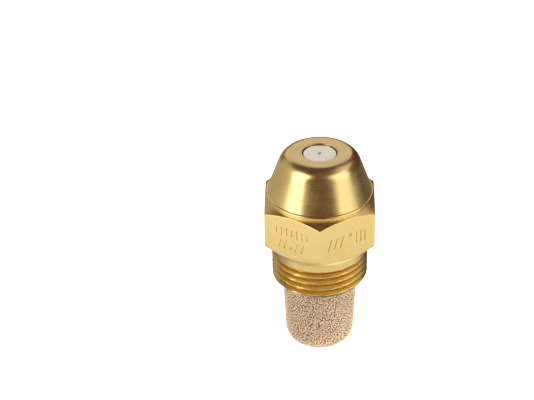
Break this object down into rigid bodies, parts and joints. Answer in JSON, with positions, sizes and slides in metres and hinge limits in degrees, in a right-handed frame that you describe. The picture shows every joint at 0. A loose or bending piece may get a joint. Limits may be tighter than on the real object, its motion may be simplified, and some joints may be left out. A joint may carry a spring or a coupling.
{
  "type": "oil burner nozzle",
  "caption": "Hexagonal brass spray nozzle for an oil burner, with a conical nose, an orifice disc, a fine external thread and a sintered filter cup behind.",
  "frame": {"origin": "on the nozzle's axis, in the plane of the flat ring at the thread's end that seals against the nozzle line", "axes": "+Z along the nozzle's axis, the way it sprays; a corner of the hexagon points to -Y and two of its flats face +X and -X"},
  "size_m": [0.016, 0.0184, 0.0326],
  "materials": {
    "brass": "fine turned and drawn, bright, uncoated",
    "stainless_steel": "ground, satin",
    "sintered_bronze": "sintered bronze grains, porous and matt"
  },
  "bodies": {
    "body": {"nozzle_body": "brass", "orifice_disc": "stainless_steel"},
    "swirl_cone": {"swirl_cone": "stainless_steel"},
    "lock_screw": {"lock_screw": "brass"},
    "filter": {"filter_ferrule": "brass", "filter_thimble": "sintered_bronze"}
  },
  "joints": [
    {"name": "swirl_cone_withdrawal", "type": "slide", "parent": "body", "child": "swirl_cone", "axis": [0, 0, -1], "range_m": [0, 0.022]},
    {"name": "lock_screw_unscrewing", "type": "slide", "parent": "swirl_cone", "child": "lock_screw", "axis": [0, 0, -1], "range_m": [0, 0.014]},
    {"name": "filter_unscrewing", "type": "slide", "parent": "lock_screw", "child": "filter", "axis": [0, 0, -1], "range_m": [0, 0.008]}
  ]
}
